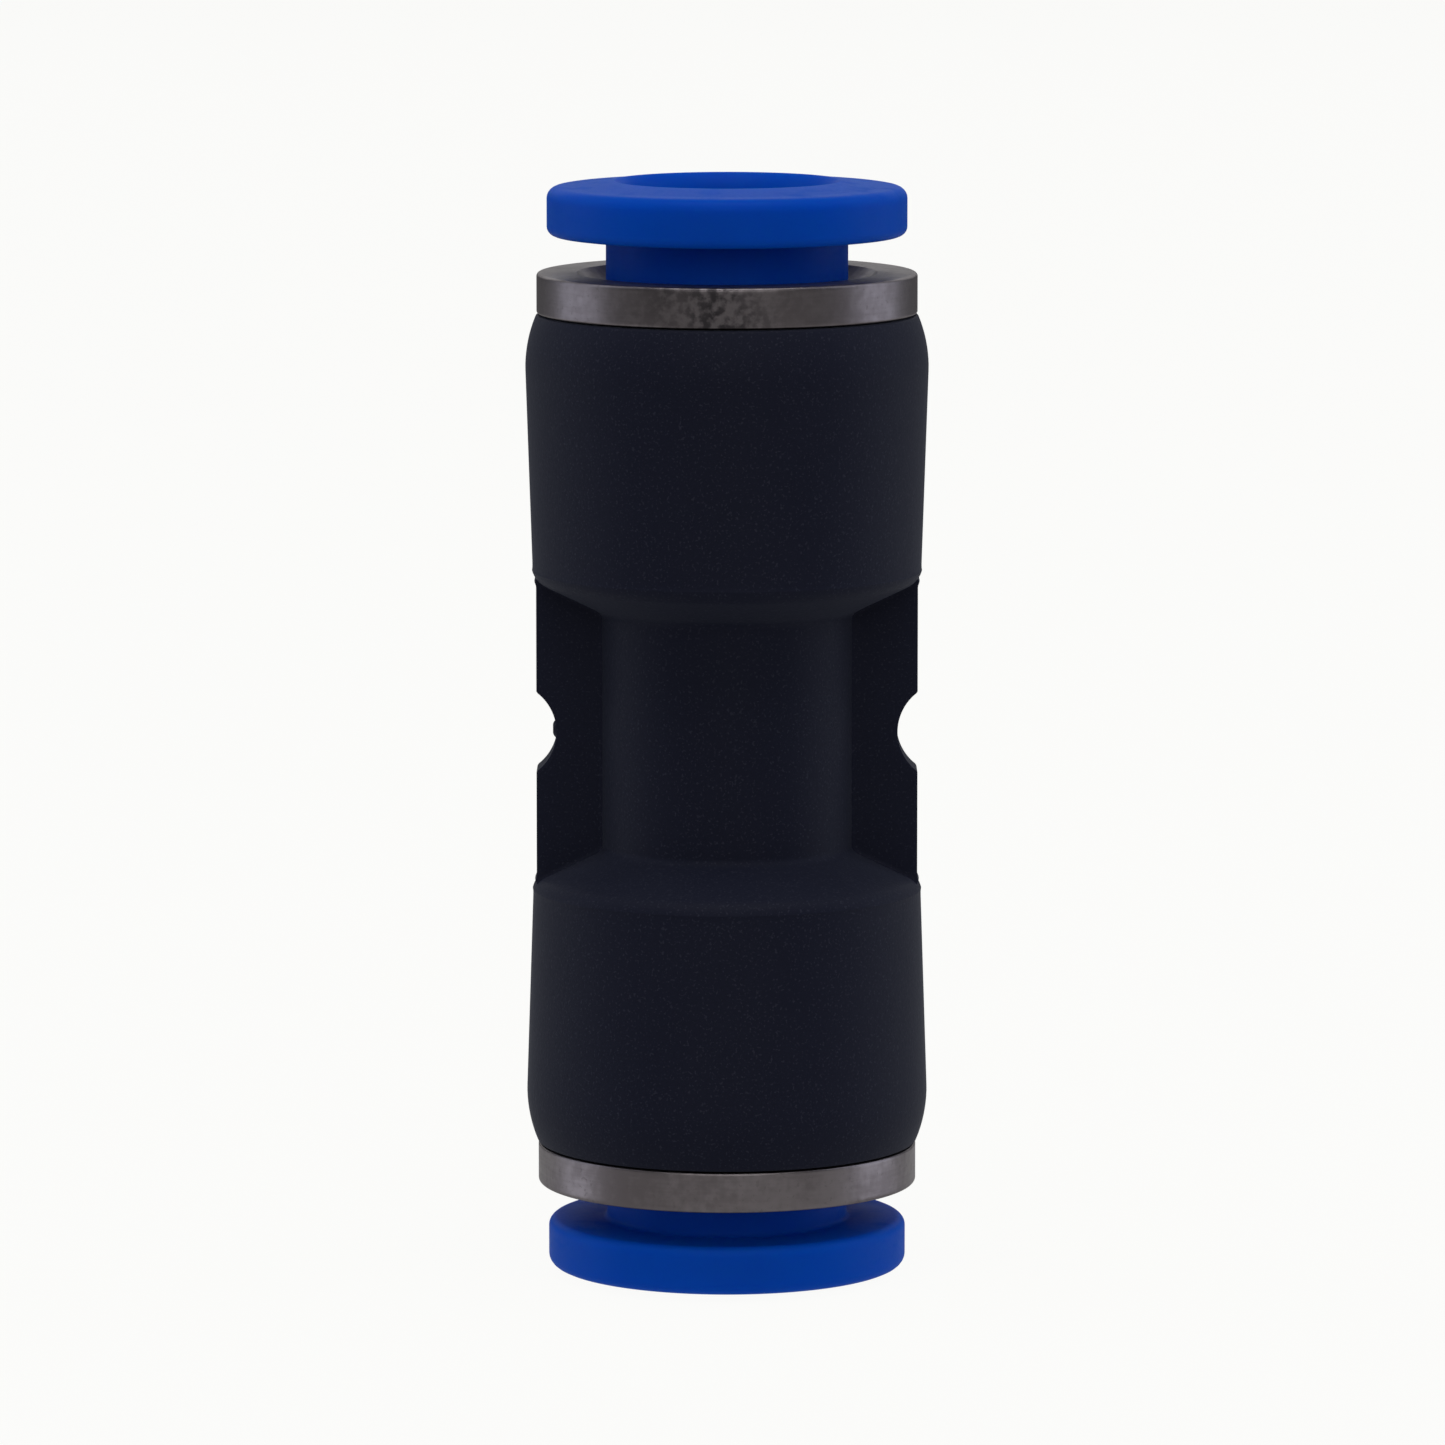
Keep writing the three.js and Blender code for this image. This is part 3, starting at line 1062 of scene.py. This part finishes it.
@dataclass
class ReleaseSleeve(EndPiece):
    """The blue sleeve that is pressed to let go of the tube: flange, stem and slotted nose."""

    bore: float = 3.1
    stem: float = 3.75
    barb: float = 4.15
    barb_length: float = 0.85
    barb_top: float = 12.35
    nose_wall: float = 0.35
    slot_half: float = 0.45
    slot_count: int = 4
    slot_rise: float = 0.5
    flange_rim: float = 1.55
    crown_rise: float = 0.15
    under_round: float = 0.28
    crown_round: float = 0.5
    crown_fall: float = 0.06
    land: float = 1.7
    mouth_round: float = 0.4
    funnel_turn: float = 0.97
    lead: float = 0.05
    slot_columns: int = 8
    wall_columns: int = 30

    def angles(self, radius: np.ndarray) -> tuple[np.ndarray, np.ndarray]:
        """Angle of every column at each radius, so that the slots' sides are parallel.

        Within a slot a column lies at asin(offset / radius) from the slot's middle. Between two
        slots the columns are spread evenly from one slot's edge to the next.

        Args:
            radius: radius of each row.

        Returns:
            Angles, one row for each radius, and whether each cell between columns is in a slot.
        """
        pitch = 2 * math.pi / self.slot_count
        middles = pitch * (0.5 + np.arange(self.slot_count))
        offsets = np.linspace(-self.slot_half, self.slot_half, self.slot_columns + 1)[:-1]
        inside = np.arcsin(np.clip(offsets / radius[:, None], -1, 1))
        edge = np.arcsin(self.slot_half / radius)[:, None]
        part = np.linspace(0, 1, self.wall_columns + 1)[None, :-1]
        between = edge + (pitch - 2 * edge) * part
        sector = np.concatenate([inside, between], 1)
        angles = (middles[None, :, None] + sector[:, None, :]).reshape(len(radius), -1)
        slotted = np.tile(np.arange(sector.shape[1]) < inside.shape[1], self.slot_count)
        return angles, slotted

    def walls(self) -> tuple[np.ndarray, np.ndarray, float]:
        """Outlines of the outside and the bore, in pairs of points from nose to mouth.

        Up the stem the bore's rows are spread as the outside's are along their own length, with
        the slots' ends level. The bore runs straight up and leaves through an arc tangent to it,
        which turns until it meets the rim's own slope: for the angle f between them and the rim's
        radius e, the arc's radius is (e - bore) / (1 - cos f).

        Returns:
            Outside outline, bore outline, and the height where the slots end.
        """
        reach = Reach.of(self.end.node("release_sleeve"))
        rim_top = reach.top - self.crown_rise
        flange_foot = rim_top - self.flange_rim
        slot_top = self.barb_top + self.slot_rise
        # Radius, height and rounding of each corner. The first and last only lead the outline in
        # and out, and are dropped.
        corners = np.array(
            [
                [self.bore - self.lead, reach.foot, 0.02],
                [self.bore + self.nose_wall, reach.foot, 0.14],
                [self.barb, self.barb_top - self.barb_length, 0.2],
                [self.barb, self.barb_top, 0.05],
                [self.stem, self.barb_top, 0.04],
                [self.stem, flange_foot, 0.14],
                [reach.radius, flange_foot, self.under_round],
                [reach.radius, rim_top - self.crown_fall, self.crown_round],
                [self.bore + self.land, rim_top - 0.02, 1.2],
                [self.bore + self.mouth_round, reach.top, 0.1],
                [self.bore - self.lead, reach.top - self.mouth_round, 0.02],
            ]
        )
        rounded = soften(corners[:, :2], corners[:, 2], 6).reshape(len(corners), -1, 2)
        outside = rounded[1:-1].reshape(-1, 2)
        slot_row = int((outside[:, 1] < slot_top).sum())
        outside = np.insert(outside, slot_row, [self.stem, slot_top], axis=0)
        steps = np.linalg.norm(np.diff(outside, axis=0), axis=1)
        run = np.concatenate([[0.0], np.cumsum(steps)])
        last = int((outside[:, 1] <= flange_foot - 0.05).sum()) - 1
        knots = [0.0, run[slot_row], run[last]]
        levels = [reach.foot, slot_top, outside[last, 1]]
        stem = np.interp(run[: last + 1], knots, levels)
        inward, down = np.abs(outside[-1] - outside[-2])
        swing = math.pi / 2 - math.atan2(down, inward)
        flare = (outside[-1, 0] - self.bore) / (1 - math.cos(swing))
        funnel_foot = outside[-1, 1] - flare * math.sin(swing)
        spare = len(outside) - len(stem)
        straight = np.linspace(stem[-1], funnel_foot, spare // 2 + 1)[1:]
        turn = np.linspace(0, self.funnel_turn * swing, spare - len(straight) + 1)[1:]
        funnel = [self.bore + flare * (1 - np.cos(turn)), funnel_foot + flare * np.sin(turn)]
        height = np.concatenate([stem, straight])
        pipe = [np.full(len(height), self.bore), height]
        return outside, np.concatenate([np.stack(pipe, 1), np.stack(funnel, 1)]), slot_top

    def build(self) -> bpy.types.Object:
        """Makes the sleeve and lets it ride on its own body.

        Returns:
            The sleeve.
        """
        outside, bore, slot_top = self.walls()
        outer_angle, slotted = self.angles(outside[:, 0])
        inner_angle, _ = self.angles(bore[:, 0])
        level = (outside[:-1, 1] + outside[1:, 1]) / 2
        present = ~((level < slot_top)[:, None] & slotted[None])
        outer = turned_on_axis(outside[:, :1], outside[:, 1:], outer_angle)
        inner = turned_on_axis(bore[:, :1], bore[:, 1:], inner_angle)
        surface = pierced_shell(outer, inner, present)
        piece = self.finished(surface, "blue_sleeve", AcetalBlue(), "release_sleeve")
        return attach(piece, self.end.sleeve_body)


@dataclass
class GripRing(EndPiece):
    """The spring ring whose twelve teeth lean inwards and hold the tube."""

    rim_inner: float = 4.3
    tip: float = 2.9
    thickness: float = 0.2
    drop: float = 0.62
    gap: float = 0.5
    teeth: int = 12
    give: float = 1.75
    rim_inset: float = 0.025
    bend: float = 0.12
    rim_rows: int = 8
    tooth_rows: int = 12
    gap_columns: int = 8
    tooth_columns: int = 11

    def build(self) -> bpy.types.Object:
        """Makes the ring.

        Rows run from the rim to the tips. A gap's rows end on its round root, whose radius is
        root + sqrt(half gap squared - offset squared). The height falls by drop for each
        millimetre inwards from the rim's inner edge, with the bend between them rounded.

        Returns:
            The ring.
        """
        reach = Reach.of(self.end.node("grip_ring"))
        top = reach.top - self.rim_inset
        pitch, half = 2 * math.pi / self.teeth, self.gap / 2
        offsets = np.linspace(-half, half, self.gap_columns + 1)
        tooth = np.linspace(0, 1, self.tooth_columns + 1)[1:-1]
        root = self.rim_inner - half + np.sqrt(np.maximum(half**2 - offsets**2, 0))
        roots = np.concatenate([root, np.full(len(tooth), self.rim_inner - half)])
        outer_part = np.linspace(0, 1, self.rim_rows)
        tooth_part = np.linspace(0, 1, self.tooth_rows)[1:]
        rim = reach.radius + (roots - reach.radius) * outer_part[:, None]
        lean = roots + (self.tip - roots) * tooth_part[:, None]
        radius = np.concatenate([rim, lean])
        in_gap = np.arcsin(np.clip(offsets / radius[:, : len(offsets)], -1, 1))
        edge = np.arcsin(half / radius[:, len(offsets) :])
        on_tooth = edge + (pitch - 2 * edge) * tooth
        sector = np.concatenate([in_gap, on_tooth], 1)
        starts = pitch * np.arange(self.teeth)
        angle = (starts[None, :, None] + sector[:, None, :]).reshape(len(radius), -1)
        radius = np.tile(radius, (1, self.teeth))
        fall = self.drop * joined(self.rim_inner - radius, np.zeros_like(radius), self.bend)
        height = top - fall
        cells = np.arange(sector.shape[1]) < len(offsets) - 1
        below_rim = np.arange(len(radius) - 1) >= self.rim_rows - 1
        missing = np.tile(cells, self.teeth)[None] & below_rim[:, None]
        outer = turned_on_axis(radius, height, angle)
        inner = turned_on_axis(radius, height - self.thickness, angle)
        surface = pierced_shell(outer, inner, ~missing)
        piece = self.finished(surface, "spring_ring", SpringSteel(), "grip_ring")
        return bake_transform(piece)


@dataclass
class BackingRing(EndPiece):
    """The cream ring that holds the grip ring off the seal."""

    bore: float = 3.15
    spigot: float = 4.5
    spigot_length: float = 0.5
    edge: float = 0.15
    cone_top: float = 4.3

    def build(self) -> bpy.types.Object:
        """Makes the ring and seats it in the housing.

        Returns:
            The ring.
        """
        reach = Reach.of(self.end.node("backing_ring"))
        # Radius, height and rounding of each corner.
        corners = np.array(
            [
                [self.spigot, reach.foot, 0.1],
                [self.spigot, reach.foot + self.spigot_length, 0.05],
                [reach.radius, reach.foot + self.spigot_length, 0.08],
                [reach.radius, reach.top, 0.06],
                [self.cone_top, reach.top, 0.06],
                [self.bore, reach.foot + self.edge, 0.05],
                [self.bore, reach.foot, 0.05],
            ]
        )
        surface = self.revolved(corners)
        piece = self.finished(surface, "cream_ring", AcetalNatural(), "backing_ring")
        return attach(piece, "housing")


@dataclass
class LipSeal(EndPiece):
    """The rubber seal, with two lips that open towards the pressure."""

    heel: float = 3.2
    lip: float = 2.92
    thickness: float = 0.42
    depth: float = 1.7

    def build(self) -> bpy.types.Object:
        """Makes the seal and seats it in the housing.

        Returns:
            The seal.
        """
        reach = Reach.of(self.end.node("lip_seal"))
        t, foot, outer = self.thickness, reach.foot, reach.radius
        crotch = foot + self.depth
        # Radius, height and rounding of each corner.
        corners = np.array(
            [
                [outer - t, foot + t / 2, 0.05],
                [outer - t / 2, foot, 0.14],
                [outer, foot + t / 2, 0.2],
                [outer, reach.top, 0.1],
                [self.heel, reach.top, 0.12],
                [self.heel, crotch, 0.5],
                [self.lip, foot + t, 0.3],
                [self.lip, foot + t / 2, 0.12],
                [self.lip + t / 2, foot, 0.14],
                [self.lip + t, foot + t / 2, 0.05],
                [self.heel + t, crotch - t / 2, 0.2],
                [(self.heel + outer) / 2, crotch, 0.2],
                [outer - t, crotch - t / 2, 0.2],
            ]
        )
        surface = self.revolved(corners)
        piece = self.finished(surface, "rubber_seal", NitrileRubber(), "lip_seal")
        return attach(piece, "housing")


# ------------------------------------------------------------------------------------------------
# Studio


@dataclass(frozen=True)
class SoftBox:
    """One soft light: where it stands, what it points at, how large and how strong it is."""

    name: str
    place: Triple
    size: tuple[float, float]
    watts: float
    tone: Colour = (1.0, 1.0, 1.0)
    flat: bool = False

    def hang(self, target: np.ndarray) -> bpy.types.Object:
        """Makes the light and points it at the target, or straight up if it lies flat.

        Args:
            target: the point that it faces.

        Returns:
            The lamp.
        """
        light = bpy.data.lights.new(self.name, "AREA")
        light.shape = "RECTANGLE"
        light.size, light.size_y = self.size
        light.energy = self.watts
        light.color = self.tone
        lamp = bpy.data.objects.new(self.name, light)
        bpy.context.scene.collection.objects.link(lamp)
        lamp.location = self.place
        lamp.visible_camera = False
        direction = np.array([0.0, 0.0, -1.0]) if self.flat else np.asarray(self.place) - target
        lamp.rotation_mode = "QUATERNION"
        lamp.rotation_quaternion = Vector(direction.tolist()).to_track_quat("Z", "Y")
        return lamp


@dataclass
class Studio:
    """Pale floor, soft lights and the camera."""

    shop: PaintShop
    floor_radius: float = 1.3
    cove: float = 0.5
    wall: float = 1.4
    camera_place: Triple = (-0.00014, -0.2819, 0.0380)
    camera_tilt: float = 7.64
    lens: float = 227.5
    sensor: float = 36.0
    surround: float = 0.09

    def sheet(self, level: float, thickness: float) -> np.ndarray:
        """Radius and height along one face of the cove, from the middle outwards.

        The face is flat up to floor radius - cove, turns up through a quarter circle of radius
        cove + thickness about the height of the cove, and ends in an upright wall.

        Args:
            level: height of the floor, in metres.
            thickness: how far this face lies behind the one that is seen, in millimetres.

        Returns:
            The face's outline in millimetres.
        """
        edge, cove = self.floor_radius / MM, self.cove / MM
        flat = np.array([1.0, 40.0, 150.0, 400.0, edge - cove])
        turn = np.linspace(0, math.pi / 2, 13)[1:]
        reach = cove + thickness
        radius = np.concatenate([flat, edge - cove + reach * np.sin(turn), [edge + thickness]])
        rise = [np.full(len(flat), -thickness), cove - reach * np.cos(turn), [self.wall / MM]]
        return np.stack([radius, np.concatenate(rise) + level / MM], 1)

    def lay_floor(self, level: float) -> None:
        """A round acrylic floor 2 mm thick that turns up into a wall, so it shows no horizon.

        Args:
            level: height of the floor, in metres.
        """
        outline = np.concatenate([self.sheet(level, 0.0)[::-1], self.sheet(level, 2.0)])
        floor = revolve(outline, 96).lay("studio_floor")
        self.shop.coat(floor, LightTable())
        floor.visible_glossy = False
        floor.visible_diffuse = False
        floor.visible_shadow = False
        floor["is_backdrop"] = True
        LOG.info("studio_floor at %.4f m", level)

    def light(self, level: float) -> None:
        """Hangs the soft boxes and sets the room's own dim light.

        Args:
            level: height of the floor, where the table's own glow starts.
        """
        cool = (0.9, 0.95, 1.12)
        boxes = (
            SoftBox("left_box", (-0.34, 0.07, 0.12), (0.26, 0.5), 0.31, cool),
            SoftBox("right_box", (0.34, 0.07, 0.12), (0.26, 0.5), 0.36, cool),
            SoftBox("back_card", (0.0, 0.6, 0.3), (0.9, 0.4), 0.6),
            SoftBox("top_box", (0.0, -0.14, 0.55), (0.5, 0.4), 1.3),
            SoftBox("front_box", (0.0, -0.5, 0.2), (0.6, 0.26), 0.56),
            SoftBox("table_glow", (0.0, 0.0, level + 0.0001), (0.34, 0.3), 0.095, flat=True),
        )
        for box in boxes:
            box.hang(np.zeros(3))
        world = bpy.data.worlds.new("room")
        bpy.context.scene.world = world
        world.use_nodes = True
        backdrop = world.node_tree.nodes["Background"]
        backdrop.inputs["Color"].default_value = (1, 1, 1, 1)
        backdrop.inputs["Strength"].default_value = self.surround
        bpy.context.scene.view_settings.view_transform = "Standard"

    def aim_camera(self) -> None:
        """Sets the camera in front of the coupling, a little above it and tilted down."""
        data = bpy.data.cameras.new("camera")
        data.lens, data.sensor_width = self.lens, self.sensor
        data.clip_start, data.clip_end = 0.01, 20.0
        camera = bpy.data.objects.new("camera", data)
        bpy.context.scene.collection.objects.link(camera)
        camera.location = self.camera_place
        camera.rotation_euler = (math.radians(90 - self.camera_tilt), 0.0, 0.0)
        bpy.context.scene.camera = camera


def corners_of(box: tuple) -> list[list[float]]:
    """A box's two corners as plain lists of numbers."""
    return [[float(x) for x in corner] for corner in box]


def main() -> None:
    """Loads the frame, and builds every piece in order."""
    logging.basicConfig(level=logging.INFO, format="%(name)s: %(message)s")
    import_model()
    solid_box = corners_of(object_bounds())
    shop = PaintShop()
    MouldedBody(shop).build()
    for end in End:
        for kind in (LipSeal, BackingRing, GripRing, GuideRing, ReleaseSleeve):
            kind(shop, end).build()
    studio = Studio(shop)
    studio.lay_floor(solid_box[0][2])
    studio.light(solid_box[0][2])
    studio.aim_camera()


if __name__ == "__main__":
    main()
